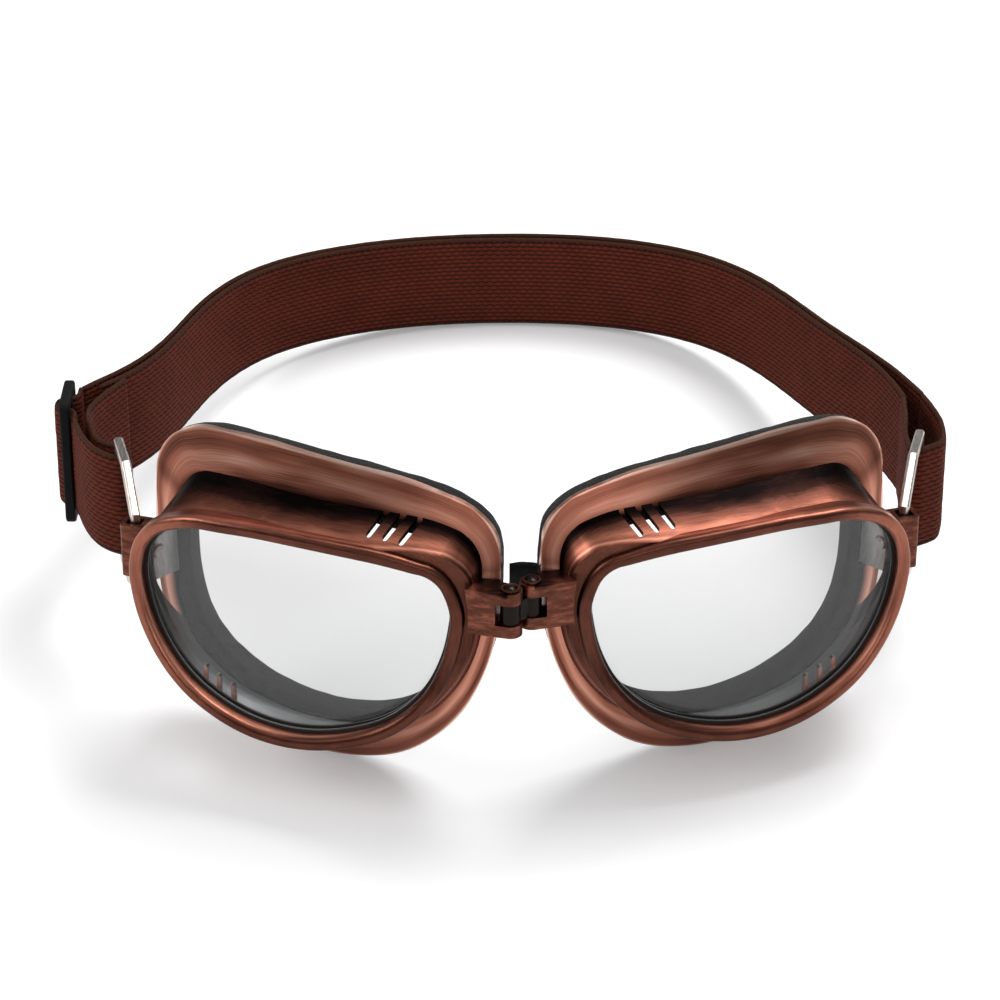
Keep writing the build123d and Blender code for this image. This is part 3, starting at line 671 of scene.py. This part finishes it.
def gasket_rubber(side):
    """Gasket: two thin dark lip lines with a painted glint, a grey band, between them."""
    s = Shader(f"{side}_gasket_rubber")
    cup = CupSpace(s, side)
    gasket_depth = 3.1
    share = s.math("DIVIDE", s.math("SUBTRACT", cup.depth, BEAD_DEPTH), gasket_depth)
    dust = s.noise(s.stretched((700, 700, 700)), 1.0, 3.0)
    # Painted highlight: the grey band between the dark lip lines stands for a glint of light.
    lip_lines_and_painted_glint = s.ramp(
        share, (0.10, "2b2a29"), (0.22, "77797a"), (0.55, "8d9091"), (0.74, "1c1c1c"),
        (0.84, "101010"), (0.92, "5c5e5f"),
    )
    s.finish(
        Base_Color=s.mix(s.math("MULTIPLY", dust, 0.25), lip_lines_and_painted_glint, srgb("2a2a2a")),
        Roughness=s.math("ADD", s.math("MULTIPLY", dust, 0.25), 0.22),
    )
    s.bump(dust, 0.00004, 0.3)
    return s.material


def fitting_copper(name):
    """Small fittings: dark patina and painted dark reflection, corners lit by wear and a painted
    highlight.
    """
    s = Shader(name)
    brushed = s.noise(s.stretched((260, 260, 900)), 1.0, 4.0, 0.6)
    geometry = s.node("ShaderNodeNewGeometry")
    # Painted light: bright sharp corners are wear and a painted highlight; the whole is darkened by
    # 0.20 for patina and a painted dark reflection.
    corners = s.ramp(geometry.outputs["Pointiness"], (0.505, 0.0), (0.545, 1.0))
    tone = s.math("ADD", s.math("MULTIPLY", brushed, 0.55), s.math("MULTIPLY", corners, 0.35))
    s.finish(Base_Color=finish_copper(s, s.math("ADD", tone, -0.20), brushed))
    return s.material


def steel(name, tint, rough, streak):
    """Brushed steel with fine drawn lines."""
    s = Shader(name)
    lines = s.noise(s.stretched(streak), 1.0, 4.0, 0.6)
    tint = srgb(tint)[:3]
    s.finish(
        Base_Color=s.ramp(lines, (0.3, tuple(c * 0.7 for c in tint)), (0.7, tint)),
        Metallic=1.0,
        Roughness=s.math("ADD", s.math("MULTIPLY", lines, 0.15), rough),
    )
    s.bump(lines, 0.00003, 0.5)
    return s.material


def black_satin(name, colour, rough):
    """Dark lacquer or leather with a fine uneven skin."""
    s = Shader(name)
    skin = s.noise(s.stretched((900, 900, 900)), 1.0, 2.0)
    marks = s.noise(s.stretched((120, 120, 120)), 1.0, 3.0)
    colour = srgb(colour)[:3]
    s.finish(
        Base_Color=s.ramp(marks, (0.35, colour), (0.8, tuple(c * 1.9 for c in colour))),
        Specular_IOR_Level=0.22,
        Roughness=s.math("ADD", s.math("MULTIPLY", marks, 0.2), rough),
    )
    s.bump(skin, 0.00005, 0.35)
    return s.material


def foam(name):
    """Open cell charcoal foam: small pits and a dusty sheen."""
    s = Shader(name)
    place = s.stretched((1, 1, 1))
    cells = s.node("ShaderNodeTexVoronoi", Vector=place, Scale=1500.0)
    fine = s.noise(place, 2600.0, 2.0)
    soft = s.noise(place, 90.0, 3.0)
    height = s.math("ADD", cells.outputs["Distance"], s.math("MULTIPLY", fine, 0.6))
    tone = s.math("ADD", s.math("MULTIPLY", height, 0.6), s.math("MULTIPLY", soft, 0.3))
    s.finish(
        Base_Color=s.ramp(tone, (0.25, "050505"), (0.8, "242322")),
        Roughness=0.95, Specular_IOR_Level=0.15, Sheen_Weight=0.08,
    )
    s.bump(height, 0.0003, 0.7)
    return s.material


def webbing(name):
    """Elastic strap: lengthwise rows of staggered stitches, and a darker rolled edge."""
    row_pitch, stitch_pitch, dash_pitch = 1.15, 2.1, 1.5
    s = Shader(name)
    place = s.node("ShaderNodeTexCoord")
    parts = s.node("ShaderNodeSeparateXYZ", Vector=place.outputs["UV"])
    along = s.math("MULTIPLY", parts.outputs[0], STRAP_WIDTH)
    across = s.math("MULTIPLY", parts.outputs[1], STRAP_WIDTH)
    # Rows of stitches: each is shifted half a stitch against the next
    rows = s.math("DIVIDE", across, row_pitch)
    row = s.math("FLOOR", rows)
    within = s.math("MULTIPLY", s.math("SUBTRACT", rows, row), 2.0)
    rib = s.math("SUBTRACT", 1.0, s.math("ABSOLUTE", s.math("SUBTRACT", within, 1.0)))
    shift = s.math("MULTIPLY", s.math("MODULO", row, 2.0), 0.5)
    wobble = s.math("MULTIPLY", s.noise(place.outputs["UV"], 14.0, 2.0), 0.5)
    stitch = s.math("ADD", s.math("DIVIDE", along, stitch_pitch), s.math("ADD", shift, wobble))
    wave = s.math("SINE", s.math("MULTIPLY", stitch, 2 * math.pi))
    loop = s.math("ADD", s.math("MULTIPLY", wave, 0.5), 0.5)
    valley = s.math("SUBTRACT", 1.0, s.math("POWER", rib, 0.6))
    weave = s.math("SUBTRACT", 1.0, s.math("MULTIPLY", valley, s.math("ADD", 0.35, loop)))
    yarn = s.noise(s.stretched((4200, 4200, 1500)), 1.0, 2.0)
    stretch = s.noise(place.outputs["UV"], 3.0, 3.0)
    # Rolled edge, and the dashed groove of stitches beside it
    edge = s.math("ABSOLUTE", s.math("SUBTRACT", parts.outputs[1], 0.5))
    rim = s.ramp(edge, (0.466, 0.0), (0.474, 1.0))
    groove = s.ramp(edge, (0.444, 0.0), (0.452, 1.0), (0.464, 1.0), (0.470, 0.0))
    dash = s.math("SINE", s.math("MULTIPLY", along, 2 * math.pi / dash_pitch))
    dashed = s.math("MULTIPLY", groove, s.math("ADD", 0.6, s.math("MULTIPLY", dash, 0.4)))
    fuzz = s.math("MULTIPLY", s.math("ADD", yarn, stretch), 0.2)
    tone = s.math("ADD", s.math("MULTIPLY", weave, 0.55), fuzz)
    body = s.ramp(tone, (0.30, "100402"), (0.60, "521d0f"), (0.95, "80371f"))
    lit = s.mix(rim, body, srgb("3c2216"))
    s.finish(
        Base_Color=s.mix(s.math("MULTIPLY", dashed, 0.9), lit, srgb("0c0403")),
        Roughness=0.9, Specular_IOR_Level=0.2,
        Sheen_Weight=0.10, Sheen_Roughness=0.5, Sheen_Tint=srgb("a0523a"),
    )
    raised = s.math("ADD", weave, s.math("MULTIPLY", yarn, 0.25))
    s.bump(s.math("SUBTRACT", raised, s.math("MULTIPLY", dashed, 0.8)), 0.00028, 0.8)
    return s.material


def lens_material(side):
    """Clear lens with a faint grey tint, painted light that grows towards the top, and slight wipe
    marks.
    """
    lowest, span = -35.0, 54.0
    s = Shader(f"{side}_clear_lens")
    cup = CupSpace(s, side)
    # Painted light: the tint is lighter towards the top, made uneven by a broad noise.
    height = s.math("DIVIDE", s.math("SUBTRACT", cup.v, lowest), span)
    marks = s.noise(s.stretched((160, 160, 30)), 1.0, 3.0)
    uneven_painted_light = s.noise(s.stretched((14, 14, 26)), 1.0, 1.0)
    s.finish(
        Base_Color=s.ramp(
            s.vary(height, uneven_painted_light, 0.35), (0.10, (0.69, 0.70, 0.695)), (0.70, (0.725, 0.73, 0.725)),
            (1.0, (0.80, 0.81, 0.80)),
        ),
        Transmission_Weight=1.0, IOR=1.45,
        Roughness=s.math("MULTIPLY", s.ramp(marks, (0.5, 0.0), (0.9, 1.0)), 0.04),
    )
    # Let light through without caustics, so that what is behind is lit
    clear = s.node("ShaderNodeBsdfTransparent")
    clear.inputs["Color"].default_value = (0.86, 0.875, 0.875, 1)
    ray = s.node("ShaderNodeLightPath")
    blend = s.node("ShaderNodeMixShader")
    passing = s.math("MAXIMUM", ray.outputs["Is Shadow Ray"], ray.outputs["Is Diffuse Ray"])
    s.put(blend.inputs[0], passing)
    s.put(blend.inputs[1], s.surface.outputs[0])
    s.put(blend.inputs[2], clear.outputs[0])
    s.put(s.out.inputs["Surface"], blend.outputs[0])
    return s.material


def dress():
    """Give every shown CAD node its material."""
    small = fitting_copper("fitting_copper")
    dark = steel("dark_steel", "2c2624", 0.25, (300, 300, 1500))
    ring = steel("ring_steel", "efe6de", 0.22, (1500, 200, 200))
    plate = steel("plate_steel", "efecea", 0.35, (1500, 1500, 150))
    finish = {
        "hinge_knuckle": small, "strap_lug": small,
        "lug_plate": plate, "lug_rivet": plate,
        "hinge_pin": dark, "bridge_link": dark,
        "strap_ring": ring, "strap_slider": black_satin("slider_lacquer", "010101", 0.6),
    }
    for name, obj in frame["nodes"].items():
        kind = name.removeprefix("left_").removeprefix("right_")
        if kind in finish:
            set_material(obj, finish[kind])
    own = {
        "bezel": bezel_copper, "brim": brim_copper, "lens_gasket": gasket_rubber,
        "lens": lens_material,
    }
    for side in SIGNS:
        for kind, material in own.items():
            set_material(frame["nodes"][f"{side}_{kind}"], material(side))


def build_soft():
    """Foam pads, nose strip and strap, which stand for their plain solids."""
    black_foam = foam("black_foam")
    for side in SIGNS:
        set_material(face_pad(side), black_foam)
    set_material(nose_cover(), black_satin("nose_leather", "0b0a0a", 0.6))
    strap = webbing("elastic_webbing")
    bands = {"outer": layer_route(0), "inner": layer_route(LAYER_GAP)[1:]}
    halves = {"right": (0.0, 0.5), "left": (0.5, 1.0)}
    for layer, route in bands.items():
        for side, span in halves.items():
            half = ribbon(
                f"{side}_{layer}_strap", route, f"strap_{layer}_band", leans=True, span=span,
            )
            set_material(half, strap)
            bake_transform(half)
    loops = {
        "left": (LONG_OUTER_SHARES, LONG_INNER_SHARES, LOOP_LENGTH, LOOP_WRAP),
        "right": (SHORT_OUTER_SHARES, SHORT_INNER_SHARES, SHORT_LOOP, SHORT_WRAP),
    }
    for side, (outer, inner, length, wrap) in loops.items():
        route = loop_route(side, outer, inner, length, wrap)
        loop = ribbon(f"{side}_loop", route, f"{side}_strap_loop")
        set_material(loop, strap)
        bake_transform(loop)

    x, y = bar_axis("right")
    route = [(x - p * SHORT_LOOP, y + q * SHORT_LOOP) for p, q in SEWN_SHARES]
    sewn = ribbon("sewn_end", route, "strap_sewn_end")
    half = SLIDER_BAR + SLIDER_SLOT + SLIDER_MIDDLE / 2
    rise = SLIDER_THICKNESS / 2 + STRAP_GAP + STRAP_THICKNESS / 2
    route = [(x - SLIDER_OUT - q * rise, y + SLIDER_BACK + p * half) for p, q in FOLD_SHARES]
    fold = ribbon("slider_fold", route, "strap_slider_fold")
    for piece, body in ((sewn, "right_cup"), (fold, "slider")):
        set_material(piece, strap)
        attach(piece, body)


# Camera, light and floor

LAMPS = (
    ("key", (0.30, 0.40, 0.90), (0.55, 0.45), 8.0),
    ("fill", (-0.75, -0.1, 0.55), (0.5, 0.3), 2.4),
    ("front", (0.1, -0.9, 0.45), (0.6, 0.12), 1.2),
)
LAMP_TARGET = Vector((0.0, -0.02, 0.03))
# Grey of the surroundings from straight below to straight above
SURROUNDINGS = ((0.0, 0.05), (0.22, 0.08), (0.5, 0.42), (1.0, 1.0))
SURROUNDINGS_STRENGTH = 0.75
FLOOR_HALF, FLOOR_DROP, FLOOR_LIFT = 3.0, 0.0001, 0.21


def place_camera():
    """Camera of the photograph: seen from above, the bridge a little right of the middle."""
    focal, elevation = 3600.0, math.radians(28.0)
    scale, right, down = 4.70, 21.0, -107.0
    film, picture = 36.0, 1000.0
    forward = BACK * math.cos(elevation) - UP * math.sin(elevation)
    above = BACK * math.sin(elevation) + UP * math.cos(elevation)
    place = ORIGIN - MM * (
        ACROSS * right / scale + above * down / scale + forward * focal / scale
    )
    camera = bpy.data.cameras.new("camera")
    camera.sensor_width = film
    camera.lens = film * focal / picture
    camera.clip_start, camera.clip_end = 0.01, 20.0
    obj = bpy.data.objects.new("camera", camera)
    bpy.context.scene.collection.objects.link(obj)
    turn = Matrix((ACROSS, above, -forward)).transposed()
    obj.matrix_world = Matrix.Translation(Vector(place)) @ turn.to_4x4()
    bpy.context.scene.camera = obj


def area_light(name, place, size, power):
    """Rectangular lamp that points at the goggles."""
    light = bpy.data.lights.new(name, "AREA")
    light.shape = "RECTANGLE"
    light.size, light.size_y = size
    light.energy = power
    obj = bpy.data.objects.new(name, light)
    bpy.context.scene.collection.objects.link(obj)
    obj.location = place
    obj.rotation_euler = (LAMP_TARGET - Vector(place)).to_track_quat("-Z", "Y").to_euler()


def lay_floor():
    """White floor that keeps the shadow, lifted a little where it is seen."""
    mesh = bpy.data.meshes.new("floor")
    corners = [(x * FLOOR_HALF, y * FLOOR_HALF, 0) for x, y in ((-1, -1), (1, -1), (1, 1), (-1, 1))]
    mesh.from_pydata(corners, [], [(0, 1, 2, 3)])
    floor = bpy.data.objects.new("floor", mesh)
    bpy.context.scene.collection.objects.link(floor)
    floor.location.z = -FLOOR_DROP
    s = Shader("floor_white")
    s.finish(Base_Color=(0.86, 0.86, 0.865, 1), Roughness=0.9, Specular_IOR_Level=0.1)
    lift = s.node("ShaderNodeEmission")
    ray = s.node("ShaderNodeLightPath")
    seen = s.math("MAXIMUM", ray.outputs["Is Camera Ray"], ray.outputs["Is Transmission Ray"])
    s.put(lift.inputs["Strength"], s.math("MULTIPLY", seen, FLOOR_LIFT))
    both = s.node("ShaderNodeAddShader")
    s.put(both.inputs[0], s.surface.outputs[0])
    s.put(both.inputs[1], lift.outputs[0])
    s.put(s.out.inputs["Surface"], both.outputs[0])
    set_material(floor, s.material)


def light_studio():
    """Surroundings that are white where seen, and grey to the light and the metal."""
    world = bpy.data.worlds.new("studio")
    bpy.context.scene.world = world
    world.use_nodes = True
    nodes, link = world.node_tree.nodes, world.node_tree.links.new
    nodes.clear()
    place = nodes.new("ShaderNodeTexCoord")
    parts = nodes.new("ShaderNodeSeparateXYZ")
    link(place.outputs["Generated"], parts.inputs[0])
    ramp = nodes.new("ShaderNodeValToRGB")
    link(parts.outputs["Z"], ramp.inputs[0])
    steps = ramp.color_ramp.elements
    while len(steps) < len(SURROUNDINGS):
        steps.new(0.5)
    for step, (at, level) in zip(steps, SURROUNDINGS):
        step.position = at
        step.color = as_colour(level)
    studio = nodes.new("ShaderNodeBackground")
    studio.inputs["Strength"].default_value = SURROUNDINGS_STRENGTH
    link(ramp.outputs[0], studio.inputs[0])
    white = nodes.new("ShaderNodeBackground")
    white.inputs[0].default_value = as_colour(1.0)
    ray = nodes.new("ShaderNodeLightPath")
    seen = nodes.new("ShaderNodeMath")
    seen.operation = "MAXIMUM"
    link(ray.outputs["Is Camera Ray"], seen.inputs[0])
    link(ray.outputs["Is Transmission Ray"], seen.inputs[1])
    blend = nodes.new("ShaderNodeMixShader")
    for socket, made in zip(blend.inputs, (seen, studio, white)):
        link(made.outputs[0], socket)
    link(blend.outputs[0], nodes.new("ShaderNodeOutputWorld").inputs["Surface"])
    for lamp in LAMPS:
        area_light(*lamp)
    bpy.context.scene.view_settings.view_transform = "Standard"


place_camera()
lay_floor()
light_studio()
dress()
build_soft()
